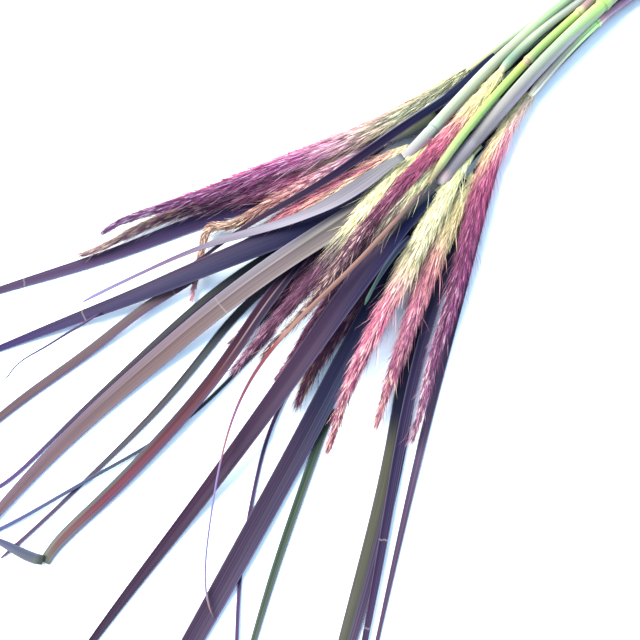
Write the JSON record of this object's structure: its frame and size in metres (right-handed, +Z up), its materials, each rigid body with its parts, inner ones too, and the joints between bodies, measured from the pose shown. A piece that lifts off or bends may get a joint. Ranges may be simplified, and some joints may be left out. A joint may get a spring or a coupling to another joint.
{
  "type": "dried purple fountain grass",
  "caption": "Loose dried bunch of purple fountain grass lying flat: cut stems at one end, bristly plumes and long tapering purple blades fanning out at the other.",
  "frame": {"origin": "Centre of the bounding box's footprint, on the surface that the bunch lies on.", "axes": "+Z up from the surface; +Y along the bunch towards the cut stem ends, with the leaf tips at -Y; +X across the bunch, right handed."},
  "size_m": [0.3217, 0.6742, 0.0236],
  "materials": {
    "sheath_sage": "dry leaf sheath, satin",
    "sheath_lilac": "dry leaf sheath, satin",
    "culm_lime": "bare culm, satin",
    "culm_straw": "bare culm, satin",
    "plume_burgundy": "bristly seed head, matt",
    "plume_rose": "bristly seed head, matt",
    "plume_plum": "bristly seed head, matt",
    "blade_purple": "dry leaf, finely veined, satin",
    "blade_navy": "dry leaf, finely veined, satin",
    "blade_mauve": "dry leaf, finely veined, satin",
    "blade_silver": "dry leaf, ribbed, satin",
    "blade_olive": "dry leaf, finely veined, satin",
    "blade_maroon": "dry leaf, finely veined, satin",
    "blade_tan": "dry leaf strip, satin",
    "blade_green": "dry leaf, satin"
  },
  "bodies": {
    "root": {"blade_brown_left": "blade_mauve", "blade_green_tip": "blade_green", "blade_grey_left": "blade_olive", "blade_hair_left": "blade_purple", "blade_maroon_left": "blade_maroon", "blade_maroon_tip": "blade_green", "blade_mauve_left": "blade_mauve", "blade_navy_left": "blade_navy", "blade_navy_right": "blade_navy", "blade_olive_bract": "blade_olive", "blade_olive_left": "blade_olive", "blade_olive_right": "blade_olive", "blade_plum_centre": "blade_purple", "blade_plum_left": "blade_purple", "blade_plum_right": "blade_purple", "blade_purple_left": "blade_purple", "blade_purple_right": "blade_purple", "blade_silver": "blade_silver", "blade_tan_thread": "blade_tan", "blade_taupe": "blade_olive", "blade_teal_left": "blade_green", "blade_thread_dark": "blade_navy", "culm_pink": "culm_lime", "plume_bent": "plume_rose", "plume_centre": "plume_burgundy", "plume_low_left": "plume_plum", "plume_low_right": "plume_plum", "plume_magenta_left": "plume_burgundy", "plume_pale_left": "plume_burgundy", "plume_pink": "plume_rose", "plume_right": "plume_burgundy", "plume_rose_right": "plume_rose", "plume_salmon": "plume_rose", "plume_straw_right": "plume_burgundy", "plume_tan_left": "plume_rose", "stem_bent": "culm_straw", "stem_centre": "sheath_sage", "stem_left": "sheath_sage", "stem_lilac": "sheath_lilac", "stem_lime": "culm_lime", "stem_low_left": "culm_straw", "stem_low_right": "culm_straw", "stem_pale": "culm_straw", "stem_right": "sheath_sage", "stem_rose_right": "culm_straw", "stem_salmon": "culm_straw", "stem_sheath": "sheath_sage", "stem_straw": "culm_straw", "stem_tan_left": "culm_straw"}
  },
  "joints": []
}
